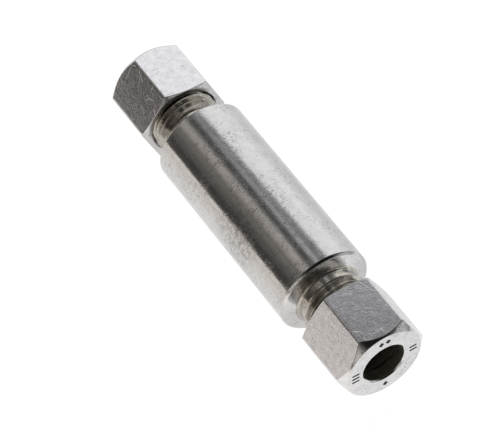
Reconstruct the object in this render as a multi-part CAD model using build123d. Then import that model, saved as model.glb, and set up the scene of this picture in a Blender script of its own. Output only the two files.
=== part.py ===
from build123d import *
import math
import os

# Weld-in bulkhead tube union, size 10 light: a round stainless body that is welded
# through a wall, with a threaded neck, a cutting ring and a union nut at each end.
# The bore axis is X, the origin is the centre of the weld cylinder, +Z is up.

# Tube and bore
tube_bore_radius = 5.1
flow_bore_radius = 4.0

# Body
weld_radius = 11.0
weld_length = 50.0
body_length = 72.0
edge_chamfer = 0.5
shoulder_angle = 15.0
shoulder_inner_radius = 8.0
undercut_radius = 7.3
undercut_end_x = 28.6
tube_stop_depth = 7.0
cone_mouth_radius = 6.15
cone_half_angle = 12.0

# Thread M16 x 1.5, right-handed at both ends
pitch = 1.5
thread_start_x = 28.6
pitch_radius = 7.513
flank_angle = 30.0
ridge_width = 0.66
body_crest_radius = 7.97
body_root_radius = 7.07
nut_crest_radius = 7.19
nut_root_radius = 8.07
thread_chamfer = 0.9
ridge_bite = 0.15

# Union nut
across_flats = 19.0
nut_length = 15.5
nut_face_x = 48.15
outer_chamfer_angle = 45.0
outer_chamfer_radius = 9.15
inner_chamfer_angle = 20.0
inner_chamfer_radius = 9.35
hole_edge_chamfer = 0.35
nut_land = 2.9
nut_cone_radius = 7.2
nut_thread_start = 6.3
nut_mouth_radius = 8.45

# Marks stamped in the nut's outer face
mark_ring_radius = 7.2
mark_depth = 0.15
bar_length = 1.8
bar_width = 0.5
bar_gap = 1.1
lozenge_side = 1.0
lozenge_gap = 1.7

# Cutting ring
ring_collar_radius = 6.75
ring_rear_radius = 5.5
ring_nose_radius = 5.5
ring_gap = 0.06
ring_rear_gap = 0.1
ring_edge = 0.2

# Turns of a nut from where it stands in to hand-tight
turns_in = 1.6

# Corner of each hexagon, in degrees from +Y towards +Z, before an end is turned round
hex_corner_a = 0.9
hex_corner_b = 4.6

body_end_x = body_length / 2
weld_end_x = weld_length / 2
seated_face_x = nut_face_x - turns_in * pitch


def revolved(points):
    """A solid of revolution about X from (x, radius) points."""
    outline = Plane.XY * make_face(Polyline(*points, close=True))
    return revolve(outline, Axis.X)


def width_at(radius, side):
    """Axial width of a thread ridge; side is +1 for the body's ridge, -1 for the nut's."""
    return ridge_width - side * 2 * (radius - pitch_radius) * math.tan(math.radians(flank_angle))


def thread_ridge(x_start, turns, base_radius, crest_radius, side):
    """One helical ridge about X. It bites into the wall that it stands on."""
    buried_radius = base_radius - side * ridge_bite
    buried = width_at(buried_radius, side) / 2
    crest = width_at(crest_radius, side) / 2
    points = [
        (buried_radius, -buried),
        (crest_radius, -crest),
        (crest_radius, crest),
        (buried_radius, buried),
    ]
    section = Plane.XZ * make_face(Polyline(*points, close=True))
    path = Helix(pitch, turns * pitch, pitch_radius)
    ridge = sweep(section, path=path, is_frenet=True)
    return Pos(x_start, 0, 0) * (Rot(0, 90, 0) * ridge)


def shoulder_points():
    """The body's outline at its +X end, from the weld cylinder to the flow bore."""
    slope = math.tan(math.radians(shoulder_angle))
    rim = weld_radius - edge_chamfer
    shoulder_x = weld_end_x + edge_chamfer
    inner_x = shoulder_x + (rim - shoulder_inner_radius) * slope
    fillet = shoulder_inner_radius - undercut_radius
    cone_depth = (cone_mouth_radius - tube_bore_radius) / math.tan(math.radians(cone_half_angle))
    stop_x = body_end_x - tube_stop_depth
    return [
        (weld_end_x, weld_radius),
        (shoulder_x, rim),
        (inner_x, shoulder_inner_radius),
        (inner_x + 0.3 * fillet, shoulder_inner_radius - 0.7 * fillet),
        (inner_x + fillet, undercut_radius),
        (undercut_end_x - 0.3, undercut_radius),
        (undercut_end_x, body_root_radius),
        (body_end_x, body_root_radius),
        (body_end_x, cone_mouth_radius),
        (body_end_x - cone_depth, tube_bore_radius),
        (stop_x, tube_bore_radius),
        (stop_x, flow_bore_radius),
    ]


def body_thread():
    """The external thread of the +X neck, chamfered at the neck's end."""
    x_start = thread_start_x - pitch
    turns = (body_end_x - x_start) / pitch + 1
    ridge = thread_ridge(x_start, turns, body_root_radius, body_crest_radius, 1)
    lead = [
        (undercut_end_x - 0.2, undercut_radius - 0.6),
        (undercut_end_x + 0.45, body_crest_radius + 0.3),
        (body_end_x - thread_chamfer + 0.25, body_crest_radius + 0.3),
        (body_end_x, body_root_radius - 0.05),
        (body_end_x, undercut_radius - 0.6),
    ]
    return ridge & revolved(lead)


def weld_body():
    half = shoulder_points()
    points = half + [(-x, radius) for x, radius in reversed(half)]
    core = revolved(points)
    thread = body_thread()
    return core + thread + Rot(0, 0, 180) * thread


def hexagon(corner):
    outline = RegularPolygon(across_flats / 2 / math.cos(math.pi / 6), 6, rotation=corner)
    low_x = nut_face_x - nut_length
    prism = Pos(low_x, 0, 0) * extrude(Plane.YZ * outline, nut_length, dir=(1, 0, 0))
    reach = across_flats
    outer = math.tan(math.radians(outer_chamfer_angle)) * (reach - outer_chamfer_radius)
    inner = math.tan(math.radians(inner_chamfer_angle)) * (reach - inner_chamfer_radius)
    barrel = [
        (low_x, 0),
        (low_x, inner_chamfer_radius),
        (low_x + inner, reach),
        (nut_face_x - outer, reach),
        (nut_face_x, outer_chamfer_radius),
        (nut_face_x, 0),
    ]
    return prism & revolved(barrel)


def nut_bore():
    """What is bored out of the nut: tube hole, 45 degree cone, thread root and mouth."""
    face = nut_face_x
    low_x = face - nut_length
    cone_end = face - nut_land - (nut_cone_radius - tube_bore_radius)
    relief = face - nut_thread_start
    return revolved([
        (face, 0),
        (face, tube_bore_radius + hole_edge_chamfer),
        (face - hole_edge_chamfer, tube_bore_radius),
        (face - nut_land, tube_bore_radius),
        (cone_end, nut_cone_radius),
        (relief + nut_root_radius - nut_cone_radius, nut_cone_radius),
        (relief, nut_root_radius),
        (low_x + nut_mouth_radius - nut_root_radius, nut_root_radius),
        (low_x, nut_mouth_radius),
        (low_x, 0),
    ])


def nut_thread():
    """The nut's own thread, half a pitch from the body's, in step with it as it stands."""
    low_x = nut_face_x - nut_length
    relief = nut_face_x - nut_thread_start
    turns_before = math.floor((low_x - thread_start_x) / pitch) - 1
    x_start = thread_start_x + (turns_before + 0.5) * pitch
    turns = (relief - x_start) / pitch + 1
    ridge = thread_ridge(x_start, turns, nut_root_radius, nut_crest_radius, -1)
    mouth = nut_mouth_radius - nut_crest_radius
    keep = [
        (low_x + 0.05, nut_mouth_radius - 0.05),
        (low_x + mouth, nut_crest_radius - 0.05),
        (relief - 0.4, nut_crest_radius - 0.05),
        (relief, nut_root_radius),
        (relief, nut_root_radius + ridge_bite + 0.1),
        (low_x + 0.05, nut_root_radius + ridge_bite + 0.1),
    ]
    return ridge & revolved(keep)


def stamped_marks():
    """Plain bars and lozenges pressed into the nut's outer face, in four groups."""
    sink = nut_face_x - mark_depth / 2
    bar = Box(mark_depth, bar_length, bar_width)
    lozenge = Rot(45, 0, 0) * Box(mark_depth, lozenge_side, lozenge_side)
    tools = []
    for angle, tool, count, gap in (
        (5, bar, 2, bar_gap),
        (92, lozenge, 2, lozenge_gap),
        (181, bar, 3, bar_gap),
        (274, lozenge, 1, lozenge_gap),
    ):
        for index in range(count):
            across = (index - (count - 1) / 2) * gap
            tools.append(Rot(angle, 0, 0) * (Pos(sink, mark_ring_radius, across) * tool))
    return tools


def union_nut(corner):
    nut = hexagon(corner) - nut_bore() + nut_thread()
    for tool in stamped_marks():
        nut -= tool
    return nut


def cutting_ring():
    """The ring where it stands now: it seats on the body's cone after turns_in turns."""
    slope = math.tan(math.radians(cone_half_angle))
    shift = turns_in * pitch
    cone_gap = ring_gap / math.cos(math.radians(cone_half_angle))
    nose_mouth = cone_mouth_radius - cone_gap
    nose_x = body_end_x - (nose_mouth - ring_nose_radius) / slope
    collar_x = body_end_x + 0.3
    rear_cone_start = seated_face_x - nut_land - ring_rear_gap + tube_bore_radius
    rear_x = rear_cone_start - ring_rear_radius
    points = [
        (nose_x, tube_bore_radius + ring_edge),
        (nose_x, ring_nose_radius),
        (collar_x, nose_mouth + (collar_x - body_end_x) * slope),
        (collar_x, ring_collar_radius - ring_edge),
        (collar_x + ring_edge, ring_collar_radius),
        (rear_cone_start - ring_collar_radius, ring_collar_radius),
        (rear_x, ring_rear_radius),
        (rear_x, tube_bore_radius),
        (nose_x + ring_edge, tube_bore_radius),
    ]
    return revolved([(x + shift, radius) for x, radius in points])


def main():
    os.makedirs("parts", exist_ok=True)
    turn_round = Rot(0, 0, 180)
    ring = cutting_ring()
    nodes = {
        "weld_body": weld_body(),
        "cutting_ring_a": ring,
        "union_nut_a": union_nut(hex_corner_a),
        "cutting_ring_b": turn_round * ring,
        "union_nut_b": turn_round * union_nut(hex_corner_b),
    }
    for name, shape in nodes.items():
        export_step(shape, f"parts/{name}.step")


main()
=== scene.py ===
import math

import bmesh
import bpy
from mathutils import Matrix, Vector


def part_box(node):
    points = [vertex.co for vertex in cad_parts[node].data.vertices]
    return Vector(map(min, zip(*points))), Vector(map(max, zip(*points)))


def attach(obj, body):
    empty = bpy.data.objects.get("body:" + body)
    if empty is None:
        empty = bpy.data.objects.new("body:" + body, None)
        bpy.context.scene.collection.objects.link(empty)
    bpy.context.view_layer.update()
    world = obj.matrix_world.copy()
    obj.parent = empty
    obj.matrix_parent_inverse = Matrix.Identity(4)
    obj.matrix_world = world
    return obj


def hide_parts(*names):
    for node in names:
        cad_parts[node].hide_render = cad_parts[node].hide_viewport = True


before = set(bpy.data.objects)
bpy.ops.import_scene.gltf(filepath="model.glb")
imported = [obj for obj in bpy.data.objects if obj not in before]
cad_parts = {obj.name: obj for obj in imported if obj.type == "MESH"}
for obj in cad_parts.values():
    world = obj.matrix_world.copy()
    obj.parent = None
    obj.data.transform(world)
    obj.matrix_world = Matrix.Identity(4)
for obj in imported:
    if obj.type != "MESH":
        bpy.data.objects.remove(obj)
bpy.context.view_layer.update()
mm = 0.001

# where the two ends and the weld cylinder are, read from the frame
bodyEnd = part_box("weld_body")[1][0] / mm
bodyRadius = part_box("weld_body")[1][2] / mm
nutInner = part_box("union_nut_a")[0][0] / mm
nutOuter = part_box("union_nut_a")[1][0] / mm
print("frame read: body end", round(bodyEnd, 2), "nut", round(nutInner, 2), round(nutOuter, 2))


def linearColour(hexColour):
    channels = [int(hexColour[i:i + 2], 16) / 255 for i in (1, 3, 5)]
    return [c / 12.92 if c <= 0.04045 else ((c + 0.055) / 1.055) ** 2.4 for c in channels] + [1]


def addNode(tree, kind, inputs=None, **settings):
    node = tree.nodes.new(kind)
    for name, value in settings.items():
        setattr(node, name, value)
    for socket, value in (inputs or {}).items():
        if isinstance(value, bpy.types.NodeSocket):
            tree.links.new(value, node.inputs[socket])
        else:
            node.inputs[socket].default_value = value
    return node


def makePiece(name, bm, materials, sharpAngle=35):
    mesh = bpy.data.meshes.new(name)
    bm.to_mesh(mesh)
    bm.free()
    for material in materials:
        mesh.materials.append(material)
    mesh.shade_smooth()
    mesh.set_sharp_from_angle(angle=math.radians(sharpAngle))
    piece = bpy.data.objects.new(name, mesh)
    bpy.context.scene.collection.objects.link(piece)
    return piece


def settle(piece):
    # applies the live modifiers, so the mesh that is kept is the mesh that is seen
    bpy.context.view_layer.update()
    depsgraph = bpy.context.evaluated_depsgraph_get()
    mesh = bpy.data.meshes.new_from_object(piece.evaluated_get(depsgraph))
    piece.modifiers.clear()
    piece.data = mesh


def evenNormals(piece):
    weighted = piece.modifiers.new("weighted", "WEIGHTED_NORMAL")
    weighted.keep_sharp = True
    settle(piece)


def radiusOf(v):
    return math.hypot(v.co.y, v.co.z) / mm


def slopeOf(degrees):
    return math.tan(math.radians(degrees))


def closedLoop(bm, places):
    corners = [bm.verts.new(place) for place in places]
    edges = [bm.edges.new(ends) for ends in zip(corners, corners[1:] + corners[:1])]
    return corners, edges


def roundEdges(bm, wanted, rounding):
    # rounding is the least angle of an edge in degrees, the radius in mm and the segments
    leastAngle, radius, segments = rounding
    edges = [e for e in bm.edges
             if e.is_manifold and e.calc_face_angle() > math.radians(leastAngle) and wanted(e)]
    bmesh.ops.bevel(bm, geom=edges, offset=radius * mm, offset_type="OFFSET", segments=segments,
                    profile=0.5, affect="EDGES", material=-1, clamp_overlap=True)


# M16 x 1.5 thread, the same numbers as the frame's; near tells which corners are on the crest
thread = {"pitch": 1.5, "startX": 28.6, "pitchRadius": 7.513, "flank": 30, "width": 0.66,
          "bodyCrest": 7.97, "bodyRoot": 7.07, "nutCrest": 7.19, "nutRoot": 8.07, "bite": 0.15,
          "stepsPerTurn": 72, "extraTurns": 0.3, "crestRound": (30, 0.06, 2), "near": 0.01}


def ridgeWidth(radius, side):
    return thread["width"] - side * 2 * (radius - thread["pitchRadius"]) * slopeOf(thread["flank"])


def threadRidge(firstX, lastX, root, crest, side, limit):
    bm = bmesh.new()
    buried = root - side * thread["bite"]
    section = [(buried, -1), (crest, -1), (crest, 1), (buried, 1)]
    # the ridge starts straight below the axis, as the frame's does
    corners, edges = closedLoop(bm, [((firstX + end * ridgeWidth(r, side) / 2) * mm, 0, -r * mm)
                                     for r, end in section])
    bm.faces.new(corners)
    turns = (lastX - firstX) / thread["pitch"] + thread["extraTurns"]
    lead = thread["pitch"] * mm / thread["stepsPerTurn"]
    spun = bmesh.ops.spin(bm, geom=corners + edges, cent=(0, 0, 0), axis=(1, 0, 0),
                          dvec=(lead, 0, 0), angle=math.tau * turns,
                          steps=round(turns * thread["stepsPerTurn"]), use_merge=False)
    last = [e for e in spun["geom_last"] if isinstance(e, bmesh.types.BMEdge)]
    bmesh.ops.contextual_create(bm, geom=last)
    bmesh.ops.recalc_face_normals(bm, faces=bm.faces)

    def alongCrest(e):
        return (all(len(f.verts) == 4 for f in e.link_faces)
                and all(abs(radiusOf(v) - crest) < thread["near"] for v in e.verts))

    roundEdges(bm, alongCrest, thread["crestRound"])
    for v in bm.verts:
        x, r = v.co.x / mm, radiusOf(v)
        newX, newR = limit(x, r)
        v.co = (newX * mm, v.co.y * newR / r, v.co.z * newR / r)
    return bm


def joinInto(bm, other, matrix=None):
    mesh = bpy.data.meshes.new("joined")
    other.to_mesh(mesh)
    if matrix:
        mesh.transform(matrix)
    bm.from_mesh(mesh)
    bpy.data.meshes.remove(mesh)


# round body: turned from one bar, every edge broken; boreNear and neckNear in mm part the finishes and the
# painted shade of the necks
weldBody = {"segments": 180, "weldHalf": 25.0, "edgeChamfer": 0.5, "shoulderAngle": 15,
            "shoulderInner": 8.0, "undercut": 7.3, "undercutEnd": 28.6, "undercutRamp": 0.3,
            "filletSteps": 5, "coneMouth": 6.15, "coneHalfAngle": 12, "socket": 5.1,
            "stopDepth": 7.0, "flowBore": 4.0, "edgeRound": (12, 0.1, 2), "threadChamfer": 0.65,
            "threadRise": 1.4, "threadSunk": 0.1, "threadGap": 0.02, "merge": 0.0005,
            "boreNear": -0.1, "neckNear": 0.02}


def bodyOutline():
    b = weldBody
    rim = bodyRadius - b["edgeChamfer"]
    shoulderX = b["weldHalf"] + b["edgeChamfer"]
    innerX = shoulderX + (rim - b["shoulderInner"]) * slopeOf(b["shoulderAngle"])
    fillet = b["shoulderInner"] - b["undercut"]
    coneDepth = (b["coneMouth"] - b["socket"]) / slopeOf(b["coneHalfAngle"])
    stopX = bodyEnd - b["stopDepth"]
    turns = [math.pi / 2 * step / b["filletSteps"] for step in range(1, b["filletSteps"])]
    half = [(b["weldHalf"], bodyRadius), (shoulderX, rim), (innerX, b["shoulderInner"])]
    half += [(innerX + fillet * (1 - math.cos(turn)), b["shoulderInner"] - fillet * math.sin(turn))
             for turn in turns]
    half += [(innerX + fillet, b["undercut"]), (b["undercutEnd"] - b["undercutRamp"], b["undercut"]),
             (b["undercutEnd"], thread["bodyRoot"]), (bodyEnd, thread["bodyRoot"]),
             (bodyEnd, b["coneMouth"]), (bodyEnd - coneDepth, b["socket"]), (stopX, b["socket"]),
             (stopX, b["flowBore"])]
    return half + [(-x, r) for x, r in reversed(half)]


def keepOnNeck(x, r):
    # the thread grows out of the undercut and ends in the neck's chamfer
    b = weldBody
    sunk = thread["bodyRoot"] - b["threadSunk"]
    fallSlope = (thread["bodyCrest"] - sunk) / b["threadChamfer"]
    rise = sunk + max(0, x - b["undercutEnd"] + b["threadSunk"]) * b["threadRise"]
    fall = sunk + max(0, bodyEnd - x) * fallSlope
    return min(x, bodyEnd - b["threadGap"]), min(r, rise, fall)


def bodySlot(face):
    # the bores are dull, and the necks and threads take the turned steel painted darker and browner:
    # painted shade of the recess between nut and shoulder
    radius = max(radiusOf(v) for v in face.verts)
    if radius < weldBody["coneMouth"] + weldBody["boreNear"]:
        return 1
    return 2 if radius < weldBody["shoulderInner"] + weldBody["neckNear"] else 0


def makeBody(materials):
    bm = bmesh.new()
    corners, edges = closedLoop(bm, [(x * mm, 0, r * mm) for x, r in bodyOutline()])
    bmesh.ops.spin(bm, geom=corners + edges, cent=(0, 0, 0), axis=(1, 0, 0), angle=math.tau,
                   steps=weldBody["segments"], use_merge=True)
    bmesh.ops.remove_doubles(bm, verts=bm.verts, dist=weldBody["merge"] * mm)
    bmesh.ops.recalc_face_normals(bm, faces=bm.faces)

    def roundAxis(e):
        return abs(e.verts[0].co.x - e.verts[1].co.x) < weldBody["merge"] * mm

    roundEdges(bm, roundAxis, weldBody["edgeRound"])
    firstX = thread["startX"] - thread["pitch"]
    ridge = threadRidge(firstX, bodyEnd, thread["bodyRoot"], thread["bodyCrest"], 1, keepOnNeck)
    joinInto(bm, ridge)
    joinInto(bm, ridge, Matrix.Rotation(math.pi, 4, "Z"))
    ridge.free()
    for face in bm.faces:
        face.material_index = bodySlot(face)
    piece = makePiece("turned_weld_body", bm, materials)
    evenNormals(piece)
    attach(piece, "body")
    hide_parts("weld_body")


# hexagon nut: drawn bar, faced and bored, edges tumbled
unionNut = {"acrossFlats": 19.0, "segments": 144, "outerChamferAngle": 45, "outerChamfer": 9.15,
            "innerChamferAngle": 20, "innerChamfer": 9.35, "hole": 5.1, "holeEdge": 0.35, "land": 2.9,
            "cone": 7.2, "threadStart": 6.3, "mouth": 8.45, "cornerA": 0.9, "cornerB": 4.6,
            "threadGap": 0.05, "threadSunk": 0.1, "threadRise": 1.5,
            # edge roundings: between facets, facet to outer chamfer, chamfer to face, inner, hole
            "cornerRound": (40, 0.28, 3), "outerRound": (20, 0.32, 4), "faceRound": (20, 0.08, 2),
            "innerRound": (15, 0.06, 2), "holeRound": (20, 0.06, 2),
            # limits in mm that tell those edges, the facets and the bore apart; facetLean is the
            # most that a facet's normal leans along X
            "near": 0.01, "leastCorner": 5, "faceLeast": 9, "innerLeast": 8.2, "holeMost": 6,
            "holeDepth": 1, "facetLeast": 9.3, "facetLean": 0.3, "boreNear": 0.1}

# plain bars and lozenges stamped in the outer face: long side, short side and lean of each
bar = (1.8, 0.5, 0)
lozenge = (1.0, 1.0, 45)
# groups: angle round the axis, offsets in mm, which mark
stampedMarks = {"ring": 7.2, "depth": 0.15,
                "groups": [(5, (-0.55, 0.55), bar), (92, (-0.85, 0.85), lozenge),
                           (181, (-1.1, 0, 1.1), bar), (274, (0,), lozenge)]}


def hexRadius(angle):
    inSide = (math.degrees(angle) % 60) - 30
    return unionNut["acrossFlats"] / 2 / math.cos(math.radians(inSide))


def nutRings():
    # an (x, radius) rule for each ring, from the thread's mouth round the outside to its far end;
    # a rule is given the radius of the hexagon there
    n = unionNut
    outerSlope = slopeOf(n["outerChamferAngle"])
    innerSlope = slopeOf(n["innerChamferAngle"])
    coneEnd = nutOuter - n["land"] - (n["cone"] - n["hole"])
    relief = nutOuter - n["threadStart"]

    def fixed(x, r):
        return lambda hexagon: (x, r)

    return [
        fixed(nutInner + n["mouth"] - thread["nutRoot"], thread["nutRoot"]),
        fixed(nutInner, n["mouth"]),
        fixed(nutInner, n["innerChamfer"]),
        lambda hexagon: (nutInner + (hexagon - n["innerChamfer"]) * innerSlope, hexagon),
        lambda hexagon: (nutOuter - (hexagon - n["outerChamfer"]) * outerSlope, hexagon),
        fixed(nutOuter, n["outerChamfer"]),
        fixed(nutOuter, n["hole"] + n["holeEdge"]),
        fixed(nutOuter - n["holeEdge"], n["hole"]),
        fixed(nutOuter - n["land"], n["hole"]),
        fixed(coneEnd, n["cone"]),
        fixed(relief + thread["nutRoot"] - n["cone"], n["cone"]),
        fixed(relief, thread["nutRoot"]),
    ]


def nutShell():
    bm = bmesh.new()
    bmesh.ops.create_circle(bm, cap_ends=False, segments=unionNut["segments"], radius=1)
    ring = list(bm.edges)
    first = ring
    for index, rule in enumerate(nutRings()):
        if index:
            grown = bmesh.ops.extrude_edge_only(bm, edges=ring)["geom"]
            ring = [g for g in grown if isinstance(g, bmesh.types.BMEdge) and len(g.link_faces) == 1]
        for v in {v for e in ring for v in e.verts}:
            # the circle is made flat, and its first ring stands it up round the X axis
            angle = math.atan2(v.co.z, v.co.y) if index else math.atan2(v.co.y, v.co.x)
            x, r = rule(hexRadius(angle))
            v.co = (x * mm, r * mm * math.cos(angle), r * mm * math.sin(angle))
    bmesh.ops.bridge_loops(bm, edges=first + ring)
    bmesh.ops.recalc_face_normals(bm, faces=bm.faces)
    return bm


def roundNut(bm):
    n = unionNut
    middle = (nutInner + nutOuter) / 2
    flat = n["acrossFlats"] / 2

    def corner(e):
        along = abs(e.verts[0].co.x - e.verts[1].co.x) / mm
        return along > n["leastCorner"] and radiusOf(e.verts[0]) > flat

    def outerRim(e):
        return all(v.co.x / mm > middle and radiusOf(v) > flat - n["near"] for v in e.verts)

    def faceRim(e):
        return all(v.co.x / mm > nutOuter - n["near"] and radiusOf(v) > n["faceLeast"] for v in e.verts)

    def innerRim(e):
        return all(v.co.x / mm < middle and radiusOf(v) > n["innerLeast"] for v in e.verts)

    def holeRim(e):
        return all(v.co.x / mm > nutOuter - n["holeDepth"] and radiusOf(v) < n["holeMost"]
                   for v in e.verts)

    roundEdges(bm, corner, n["cornerRound"])
    roundEdges(bm, outerRim, n["outerRound"])
    roundEdges(bm, faceRim, n["faceRound"])
    roundEdges(bm, innerRim, n["innerRound"])
    roundEdges(bm, holeRim, n["holeRound"])


def markTools(material):
    # small cutters; what they leave keeps the dark material
    m = stampedMarks
    bm = bmesh.new()
    for angle, offsets, (long, wide, lean) in m["groups"]:
        size = Matrix.Diagonal((2 * m["depth"] * mm, long * mm, wide * mm, 1))
        for offset in offsets:
            place = (Matrix.Rotation(math.radians(angle), 4, "X")
                     @ Matrix.Translation((nutOuter * mm, m["ring"] * mm, offset * mm))
                     @ Matrix.Rotation(math.radians(lean), 4, "X"))
            bmesh.ops.create_cube(bm, size=1, matrix=place @ size)
    return makePiece("mark_cutters", bm, [material])


def stampMarks(bm, materials):
    shell = makePiece("nut_shell", bm, materials)
    cutters = markTools(materials[-1])
    stamp = shell.modifiers.new("stamp", "BOOLEAN")
    stamp.object = cutters
    stamp.solver = "EXACT"
    stamp.material_mode = "TRANSFER"
    settle(shell)
    stampedMesh = bmesh.new()
    stampedMesh.from_mesh(shell.data)
    bpy.data.objects.remove(cutters)
    bpy.data.objects.remove(shell)
    return stampedMesh


def keepInNut(x, r):
    # the thread ends in the nut's mouth and in the relief behind it
    n = unionNut
    mouth = n["mouth"] - n["threadGap"] - max(0, x - nutInner)
    relief = nutOuter - n["threadStart"]
    end = thread["nutRoot"] + n["threadSunk"] - max(0, relief - x) * n["threadRise"]
    return max(x, nutInner + n["threadGap"]), max(r, mouth, end)


def nutSlot(face, markSlot):
    n = unionNut
    if face.material_index == markSlot:
        return markSlot
    if radiusOf(face.verts[0]) > n["facetLeast"] and abs(face.normal.x) < n["facetLean"]:
        return 0
    return 2 if max(radiusOf(v) for v in face.verts) < n["hole"] + n["boreNear"] else 1


def makeNut(letter, corner, turnRound, materials):
    n = unionNut
    bm = nutShell()
    roundNut(bm)
    bm.transform(Matrix.Rotation(math.radians(corner), 4, "X"))
    bm = stampMarks(bm, materials)
    # half a pitch from the body's ridge
    turnsBefore = math.floor((nutInner - thread["startX"]) / thread["pitch"]) - 0.5
    firstX = thread["startX"] + turnsBefore * thread["pitch"]
    ridge = threadRidge(firstX, nutOuter - n["threadStart"], thread["nutRoot"], thread["nutCrest"],
                        -1, keepInNut)
    joinInto(bm, ridge)
    ridge.free()
    if turnRound:
        bm.transform(Matrix.Rotation(math.pi, 4, "Z"))
    for face in bm.faces:
        face.material_index = nutSlot(face, len(materials) - 1)
    piece = makePiece("hex_union_nut_" + letter, bm, materials)
    evenNormals(piece)
    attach(piece, "nut_" + letter)
    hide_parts("union_nut_" + letter)


def newMaterial(name):
    material = bpy.data.materials.new(name)
    material.use_nodes = True
    material.node_tree.nodes.clear()
    return material, material.node_tree


def finishMaterial(tree, shader):
    addNode(tree, "ShaderNodeOutputMaterial", {"Surface": shader.outputs[0]})


def objectPlace(tree):
    return addNode(tree, "ShaderNodeTexCoord").outputs["Object"]


def apart(tree, vector):
    parts = addNode(tree, "ShaderNodeSeparateXYZ", {0: vector}).outputs
    return parts["X"], parts["Y"], parts["Z"]


def together(tree, x, y, z):
    return addNode(tree, "ShaderNodeCombineXYZ", {"X": x, "Y": y, "Z": z}).outputs[0]


def math2(tree, operation, first, second=0.0):
    return addNode(tree, "ShaderNodeMath", {0: first, 1: second}, operation=operation).outputs[0]


def between(tree, value, low, high, toLow=0.0, toHigh=1.0):
    return addNode(tree, "ShaderNodeMapRange", {"Value": value, "From Min": low, "From Max": high,
                                                "To Min": toLow, "To Max": toHigh}).outputs[0]


def mixLevels(tree, factor, first, second):
    return addNode(tree, "ShaderNodeMix", {0: factor, 2: first, 3: second}).outputs[0]


def mixColours(tree, factor, first, second):
    first, second = [linearColour(c) if isinstance(c, str) else c for c in (first, second)]
    return addNode(tree, "ShaderNodeMix", {0: factor, 6: first, 7: second}, data_type="RGBA").outputs[2]


def shaded(tree, colour, shade):
    return addNode(tree, "ShaderNodeVectorMath", {0: colour, "Scale": shade}, operation="SCALE").outputs[0]


def noise(tree, place, pattern):
    # a pattern starts with its size in mm, detail, roughness and seed
    size, detail, roughness, seed = pattern[:4]
    return addNode(tree, "ShaderNodeTexNoise", {
        "Vector": place, "W": seed, "Scale": 1 / (size * mm), "Detail": detail,
        "Roughness": roughness}, noise_dimensions="4D").outputs[0]


def spread(tree, value, pattern, toLow=0.0, toHigh=1.0):
    # a pattern ends with the two values it is read between
    return between(tree, value, pattern[4], pattern[5], toLow, toHigh)


def patches(tree, place, pattern, toLow=0.0, toHigh=1.0):
    return spread(tree, noise(tree, place, pattern), pattern, toLow, toHigh)


def bump(tree, height, depth, under=None, sunk=False):
    # depth is its distance in mm and its strength
    inputs = {"Height": height, "Distance": depth[0] * mm, "Strength": depth[1]}
    if under:
        inputs["Normal"] = under
    return addNode(tree, "ShaderNodeBump", inputs, invert=sunk).outputs[0]


# 1.4571 stainless bar, turned: fine rings round the axis, so highlights stretch along it
turnedFinish = {"light": "#CECDCD", "dark": "#C5C4C4",
                # the necks and threads are painted darker and browner: painted shade of the recess between
                # nut and shoulder
                "neckShadeLight": "#BBB7B0", "neckShadeDark": "#A39E96",
                "roughness": (0.07, 0.15), "anisotropic": 0.6, "anisotropicTurn": 0.25,
                # patterns: size in mm, detail, roughness, seed, and the values they are read between
                "rings": (0.3, 3, 0.5, 0.0, 0.3, 0.7),
                "dashes": (0.26, 2, 0.6, 3.0, 0.55, 0.63),
                "dashPatches": (6, 2, 0.6, 5.0, 0.45, 0.60),
                "pits": (0.4, 3, 0.6, 1.0, 0.43, 0.36),
                "pitPatches": (4.5, 2, 0.6, 9.0, 0.49, 0.60),
                "speckle": (1.6, 5, 0.55, 0.0, 0.32, 0.58),
                "grain": (0.3, 3, 0.65, 7.0, 0.35, 0.65),
                "grainPatches": (5, 2, 0.6, 15.0, 0.44, 0.62), "leastGrain": 0.2,
                "scuffs": (1.2, 4, 0.65, 21.0, 0.44, 0.58),
                # dashes are this much shorter across than round the axis
                "dashSquash": 0.26 / 0.8,
                # a rubbed patch: its middle, and where it starts and ends to fade, in mm
                "wornPlace": (6, -10.2, 4), "wornMm": (3, 9),
                "grainShade": (0.93, 1.05), "markShade": 0.6, "scuffShade": 0.66,
                # bumps: distance in mm, strength
                "ringBump": (0.003, 0.6), "grainBump": (0.03, 0.7), "markBump": (0.012, 0.8)}


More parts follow.
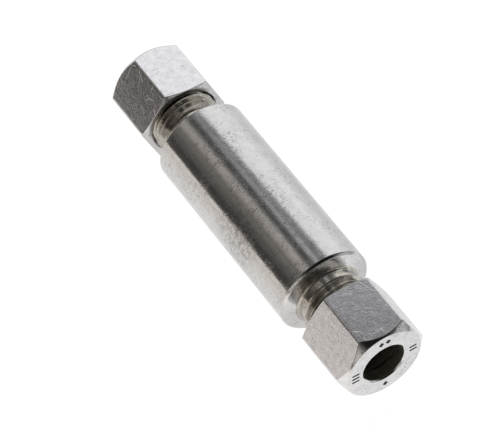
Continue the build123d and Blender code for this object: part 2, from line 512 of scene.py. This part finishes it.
def turnedStainless(name, light, dark):
    f = turnedFinish
    material, tree = newMaterial(name)
    place = objectPlace(tree)
    x, y, z = apart(tree, place)
    radius = addNode(tree, "ShaderNodeVectorMath", {0: together(tree, 0.0, y, z)},
                     operation="LENGTH").outputs["Value"]
    # rings depend only on the place along the axis and the distance from it
    rings = noise(tree, together(tree, x, radius, 0.0), f["rings"])
    # short dashes round the circumference
    turn = math2(tree, "ARCTAN2", z, y)
    arc = math2(tree, "MULTIPLY", turn, bodyRadius * mm * f["dashSquash"])
    dashes = patches(tree, together(tree, x, arc, radius), f["dashes"])
    dashes = math2(tree, "MULTIPLY", dashes, patches(tree, place, f["dashPatches"]))
    # clusters of small pits, and more of them in the rubbed patch
    fromWear = addNode(tree, "ShaderNodeVectorMath", {0: place, 1: Vector(f["wornPlace"]) * mm},
                       operation="DISTANCE").outputs["Value"]
    worn = between(tree, fromWear, f["wornMm"][0] * mm, f["wornMm"][1] * mm, 1.0, 0.0)
    pitted = math2(tree, "MAXIMUM", patches(tree, place, f["pitPatches"]), worn)
    pits = math2(tree, "MULTIPLY", patches(tree, place, f["pits"]), pitted)
    marks = math2(tree, "MAXIMUM", pits, dashes)
    scuffs = math2(tree, "MULTIPLY", patches(tree, place, f["scuffs"]), worn)
    # fine grain, stronger in some places, breaks up the edges of what the metal mirrors
    grain = noise(tree, place, f["grain"])
    grainStrength = math2(tree, "ADD", patches(tree, place, f["grainPatches"], f["leastGrain"]), worn)
    shade = math2(tree, "MULTIPLY", spread(tree, grain, f["grain"], *f["grainShade"]),
                  between(tree, marks, 0, 1, 1.0, f["markShade"]))
    shade = math2(tree, "MULTIPLY", shade, between(tree, scuffs, 0, 1, 1.0, f["scuffShade"]))
    steel = mixColours(tree, patches(tree, place, f["speckle"]), dark, light)
    fine = bump(tree, rings, f["ringBump"])
    dents = bump(tree, math2(tree, "MULTIPLY", grain, grainStrength), f["grainBump"], fine)
    shader = addNode(tree, "ShaderNodeBsdfPrincipled", {
        "Base Color": shaded(tree, steel, shade), "Metallic": 1.0,
        "Roughness": spread(tree, rings, f["rings"], *f["roughness"]),
        "Anisotropic": f["anisotropic"], "Anisotropic Rotation": f["anisotropicTurn"],
        "Tangent": addNode(tree, "ShaderNodeTangent", direction_type="RADIAL", axis="X").outputs[0],
        "Normal": bump(tree, marks, f["markBump"], dents, sunk=True)})
    finishMaterial(tree, shader)
    return material


# the same steel as drawn hexagon bar, tumbled: dull, covered with short curved rub marks
tumbledFinish = {"light": "#DBDADD", "dark": "#CAC9CC", "roughness": 0.15,
                 "grain": (0.3, 3, 0.6, 0.0, 0.35, 0.65), "grainShade": (0.94, 1.05),
                 "blotches": (1.6, 4, 0.65, 2.0, 0.35, 0.6),
                 # rub marks: the lines of each set, how wide they are, and where they break off
                 "rubs": [(5.5, 1, 0.4, 10.0), (3.8, 1, 0.4, 11.0), (7.0, 1, 0.4, 12.0)],
                 "rubWidth": 0.007,
                 "rubBreaks": [(3, 1, 0.5, seed, 0.47, 0.57) for seed in (20.0, 21.0, 22.0)],
                 "blotchBump": (0.03, 0.5), "grainBump": (0.045, 0.7), "rubBump": (0.02, 0.6)}


def rubMarks(tree, place):
    # thin curved lines where a smooth noise passes its middle, a few millimetres long
    f = tumbledFinish
    rubs = 0.0
    for lines, breaks in zip(f["rubs"], f["rubBreaks"]):
        away = math2(tree, "ABSOLUTE", math2(tree, "SUBTRACT", noise(tree, place, lines), 0.5))
        thin = between(tree, away, 0.0, f["rubWidth"], 1.0, 0.0)
        short = math2(tree, "MULTIPLY", thin, patches(tree, place, breaks))
        rubs = math2(tree, "MAXIMUM", short, rubs)
    return rubs


def tumbledStainless():
    f = tumbledFinish
    material, tree = newMaterial("tumbled stainless steel")
    place = objectPlace(tree)
    grain = noise(tree, place, f["grain"])
    blotches = noise(tree, place, f["blotches"])
    steel = mixColours(tree, spread(tree, blotches, f["blotches"]), f["dark"], f["light"])
    soft = bump(tree, blotches, f["blotchBump"])
    fine = bump(tree, grain, f["grainBump"], soft)
    shader = addNode(tree, "ShaderNodeBsdfPrincipled", {
        "Base Color": shaded(tree, steel, spread(tree, grain, f["grain"], *f["grainShade"])),
        "Metallic": 1.0, "Roughness": f["roughness"],
        "Normal": bump(tree, rubMarks(tree, place), f["rubBump"], fine, sunk=True)})
    finishMaterial(tree, shader)
    return material


# drilled and reamed bores and the cutting rings: dull, with a film of dark oil
boredFinish = {"light": "#B4B2A8", "dark": "#8E8C82", "roughness": (0.48, 0.42),
               "grooves": (0.25, 3, 0.6, 0.0), "grooveStretch": (1, 0.15, 0.15),
               "film": (3, 3, 0.6, 4.0, 0.35, 0.65), "grooveBump": (0.02, 0.6)}


def boredStainless():
    f = boredFinish
    material, tree = newMaterial("reamed stainless steel")
    place = objectPlace(tree)
    along = addNode(tree, "ShaderNodeVectorMath", {0: place, 1: f["grooveStretch"]},
                    operation="MULTIPLY").outputs[0]
    film = patches(tree, place, f["film"])
    shader = addNode(tree, "ShaderNodeBsdfPrincipled", {
        "Base Color": mixColours(tree, film, f["dark"], f["light"]), "Metallic": 1.0,
        "Roughness": between(tree, film, 0, 1, *f["roughness"]),
        "Normal": bump(tree, noise(tree, along, f["grooves"]), f["grooveBump"])})
    finishMaterial(tree, shader)
    return material


# blackened bottom of a stamped mark
stampedFinish = {"light": "#4A4744", "dark": "#1A1817", "sootMm": 0.2, "roughness": 0.7}


def stampedDark():
    f = stampedFinish
    material, tree = newMaterial("blackened stamping")
    soot = addNode(tree, "ShaderNodeTexNoise", {"Vector": objectPlace(tree),
                                                "Scale": 1 / (f["sootMm"] * mm)}).outputs[0]
    shader = addNode(tree, "ShaderNodeBsdfPrincipled", {
        "Base Color": mixColours(tree, soot, f["dark"], f["light"]), "Roughness": f["roughness"]})
    finishMaterial(tree, shader)
    return material


turned = turnedStainless("turned stainless steel", turnedFinish["light"], turnedFinish["dark"])
# the turned steel painted darker and browner for the necks and threads: painted shade
neck = turnedStainless("thread steel with painted shade", turnedFinish["neckShadeLight"], turnedFinish["neckShadeDark"])
tumbled = tumbledStainless()
bored = boredStainless()
stamped = stampedDark()
print("materials made")

makeBody([turned, bored, neck])
print("body made")
makeNut("a", unionNut["cornerA"], False, [tumbled, turned, bored, stamped])
makeNut("b", unionNut["cornerB"], True, [tumbled, turned, bored, stamped])
print("nuts made")
for letter in "ab":
    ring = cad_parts["cutting_ring_" + letter]
    ring.data.materials.clear()
    ring.data.materials.append(bored)

# studio: a white table, a soft panel above the +Y side and a pale room with a dark gap overhead
studio = {"floorSize": 0.8, "floorOffset": 0.1, "floorSeen": 0.97, "worldSeen": 1.1,
          # the -Y side is warmer: colour, and the span it fades over, in mm and in degrees
          "warm": "#FFF8F0", "white": "#FFFFFF", "table": "#6C6C6C", "floorWarm": (-60, 0),
          "worldWarm": (-25, -5),
          # glow of the table against distance in mm towards +X, then towards +Y; the table glows though it
          # is no lamp, and its glow is lower along the body than past its ends: painted shadow of the
          # body, seen in the metal's reflections
          "floorSpan": 300, "floorTop": 1.4,
          "floorAlong": [(-300, 1), (32, 1), (44, 1.32), (65, 1.32), (88, 0.35), (150, 0.35), (260, 0.9)],
          "floorAcross": [(-300, 0.48), (-220, 0.7), (-130, 0.97), (-70, 0.78), (-40, 0.88),
                          (-28, 0.93), (-21, 0.98), (-14, 0.93), (-6, 0.86), (6, 0.83), (20, 0.80),
                          (50, 0.80), (100, 0.80), (300, 0.80)],
          # levels of the surroundings against the angle round X, from straight up towards +Y,
          # for ways that lean far along -X and for ways that lean less
          "aroundFar": [(-90, 0.09), (-84, 0.07), (-75, 0.065), (-68, 0.125), (-60, 0.14), (-54, 0.18),
                        (-48, 0.20), (-42, 0.28), (-35, 0.46), (-28, 0.45), (-23, 0.34), (-19, 0.12),
                        (-10, 0.08), (-6, 0.12), (-2, 0.20), (3, 0.19), (8, 0.15), (13, 0.27),
                        (20, 0.5), (38, 1.12), (58, 1.12), (66, 1.06), (78, 1.04), (90, 0.95)],
          "aroundNear": [(-90, 0.09), (-84, 0.07), (-75, 0.065), (-68, 0.12), (-60, 0.13), (-55, 0.18),
                         (-50, 0.25), (-44, 0.18), (-37, 0.34), (-30, 0.48), (-24, 0.60), (-19, 0.44),
                         (-15, 0.14), (-8, 0.10), (-4, 0.18), (-1, 0.50), (5, 0.66), (9, 0.34),
                         (14, 0.18), (20, 0.16), (32, 0.33), (38, 1.08), (58, 1.1), (78, 1.02),
                         (90, 0.94)],
          # the lean along X over which the first gives way to the second
          "farToNear": (-0.585, -0.515),
          # how much of those counts against the way's lean along X; the rest is the pale room
          "bandShare": [(-1, 0), (-0.8, 0.1), (-0.66, 1), (-0.3, 1), (-0.12, 0), (1, 0)],
          "room": [(-1, 0.8), (0.12, 0.8), (0.25, 0.6), (0.4, 0.22), (0.55, 0.16), (0.75, 0.2), (1, 0.35)],
          "roomAlong": [(-1, 1), (-0.7, 0.8), (-0.15, 0.45), (0.25, 0.45), (0.5, 0.9), (1, 1)],
          # a dark flag beside the camera: its way, and its half widths in degrees
          "flag": (0.8, 0.12, 0.5), "flagAngles": (26, 40), "flagLevel": 0.06,
          # near edge of the panel: two points in mm, how far it goes back, its height, and the
          # levels before and after it fades along X
          "panelEdge": [(-500, -228), (60, 332)], "panelBack": 420, "panelHeight": 250,
          "panelFade": (-260, -200), "panelLevels": (1.16, 1.08)}


def levelRamp(tree, value, low, high, stops, top=1.3):
    # a ramp of grey levels against a value in its own units; top is the most a level can be
    place = addNode(tree, "ShaderNodeMapRange", {"Value": value, "From Min": low, "From Max": high})
    ramp = addNode(tree, "ShaderNodeValToRGB", {0: place.outputs[0]})
    elements = ramp.color_ramp.elements
    elements.remove(elements[1])
    for index, (at, level) in enumerate(stops):
        position = (at - low) / (high - low)
        element = elements.new(position) if index else elements[0]
        element.position = position
        element.color = (level / top, level / top, level / top, 1)
    return math2(tree, "MULTIPLY", ramp.outputs[0], top)


def warmed(tree, value, span):
    # warm at the low end of the span, neutral at the high end
    return mixColours(tree, between(tree, value, *span), studio["warm"], studio["white"])


def cameraSees(tree):
    return addNode(tree, "ShaderNodeLightPath").outputs["Is Camera Ray"]


def makeFloor():
    bm = bmesh.new()
    bmesh.ops.create_grid(bm, x_segments=4, y_segments=4, size=studio["floorSize"] / 2)
    bmesh.ops.translate(bm, verts=bm.verts, vec=(0, studio["floorOffset"], -bodyRadius * mm))
    material, tree = newMaterial("white table")
    x, y, _ = apart(tree, objectPlace(tree))
    along = math2(tree, "MULTIPLY", x, 1 / mm)
    across = math2(tree, "MULTIPLY", y, 1 / mm)
    span = studio["floorSpan"]
    # painted light and shadow of the table, seen only in the metal's reflections
    paintedTableLight = math2(tree, "MULTIPLY", levelRamp(tree, across, -span, span, studio["floorAcross"]),
                      levelRamp(tree, along, -span, span, studio["floorAlong"], studio["floorTop"]))
    # the camera sees an evenly lit sheet
    seen = cameraSees(tree)
    tint = mixColours(tree, seen, warmed(tree, across, studio["floorWarm"]), studio["white"])
    level = mixLevels(tree, seen, paintedTableLight, studio["floorSeen"])
    matte = addNode(tree, "ShaderNodeBsdfDiffuse", {"Color": linearColour(studio["table"])})
    glow = addNode(tree, "ShaderNodeEmission", {"Color": tint, "Strength": level})
    both = addNode(tree, "ShaderNodeAddShader", {0: matte.outputs[0], 1: glow.outputs[0]})
    finishMaterial(tree, both)
    floor = makePiece("floor", bm, [material])


def makePanel():
    # seen in the metal only, not by the camera
    (leftX, leftY), (rightX, rightY) = studio["panelEdge"]
    farY = rightY + studio["panelBack"]
    bm = bmesh.new()
    corners = [(leftX, leftY), (rightX, rightY), (rightX, farY), (leftX, farY)]
    bm.faces.new([bm.verts.new((x * mm, y * mm, studio["panelHeight"] * mm)) for x, y in corners])
    material, tree = newMaterial("soft panel")
    x = apart(tree, objectPlace(tree))[0]
    low, high = [at * mm for at in studio["panelFade"]]
    level = between(tree, x, low, high, *studio["panelLevels"])
    finishMaterial(tree, addNode(tree, "ShaderNodeEmission", {"Strength": level}))
    panel = makePiece("light_panel", bm, [material])
    panel.visible_camera = False


def makeWorld():
    world = bpy.data.worlds.new("studio")
    bpy.context.scene.world = world
    world.use_nodes = True
    tree = world.node_tree
    tree.nodes.clear()
    way = addNode(tree, "ShaderNodeTexCoord").outputs["Generated"]
    x, y, z = apart(tree, way)
    degrees = math2(tree, "MULTIPLY", math2(tree, "ARCTAN2", y, z), 180 / math.pi)
    band = mixLevels(tree, between(tree, x, *studio["farToNear"]),
                     levelRamp(tree, degrees, -90, 90, studio["aroundFar"]),
                     levelRamp(tree, degrees, -90, 90, studio["aroundNear"]))
    room = math2(tree, "MULTIPLY", levelRamp(tree, z, -1, 1, studio["room"]),
                 levelRamp(tree, x, -1, 1, studio["roomAlong"]))
    towardsFlag = addNode(tree, "ShaderNodeVectorMath", {0: way, 1: Vector(studio["flag"]).normalized()},
                          operation="DOT_PRODUCT").outputs["Value"]
    inner, outer = [math.cos(math.radians(a)) for a in studio["flagAngles"]]
    flagged = between(tree, towardsFlag, outer, inner, 1.0, studio["flagLevel"])
    room = math2(tree, "MULTIPLY", room, flagged)
    level = mixLevels(tree, levelRamp(tree, x, -1, 1, studio["bandShare"]), room, band)
    # the camera sees plain white past the table
    level = mixLevels(tree, cameraSees(tree), level, studio["worldSeen"])
    tint = warmed(tree, degrees, studio["worldWarm"])
    glow = addNode(tree, "ShaderNodeBackground", {"Color": tint, "Strength": level})
    addNode(tree, "ShaderNodeOutputWorld", {"Surface": glow.outputs[0]})


# camera: angles in degrees, distance and offsets in mm
view = {"azimuth": 57.94, "elevation": 50.01, "distance": 570.6, "right": -2.25, "up": -0.82,
        "lens": 186.5, "sensor": 36, "clipStart": 10}


def makeCamera():
    azimuth = math.radians(view["azimuth"])
    elevation = math.radians(view["elevation"])
    back = Vector((math.sin(azimuth) * math.cos(elevation), -math.cos(azimuth) * math.cos(elevation),
                   math.sin(elevation)))
    right = Vector((math.cos(azimuth), math.sin(azimuth), 0))
    up = back.cross(right)
    data = bpy.data.cameras.new("camera")
    data.lens = view["lens"]
    data.sensor_width = view["sensor"]
    data.clip_start = view["clipStart"] * mm
    camera = bpy.data.objects.new("camera", data)
    bpy.context.scene.collection.objects.link(camera)
    place = (right * view["right"] + up * view["up"] + back * view["distance"]) * mm
    camera.matrix_world = Matrix.Translation(place) @ Matrix((right, up, back)).transposed().to_4x4()
    bpy.context.scene.camera = camera


makeFloor()
makePanel()
makeWorld()
makeCamera()
bpy.context.scene.view_settings.view_transform = "Standard"
print("studio made")
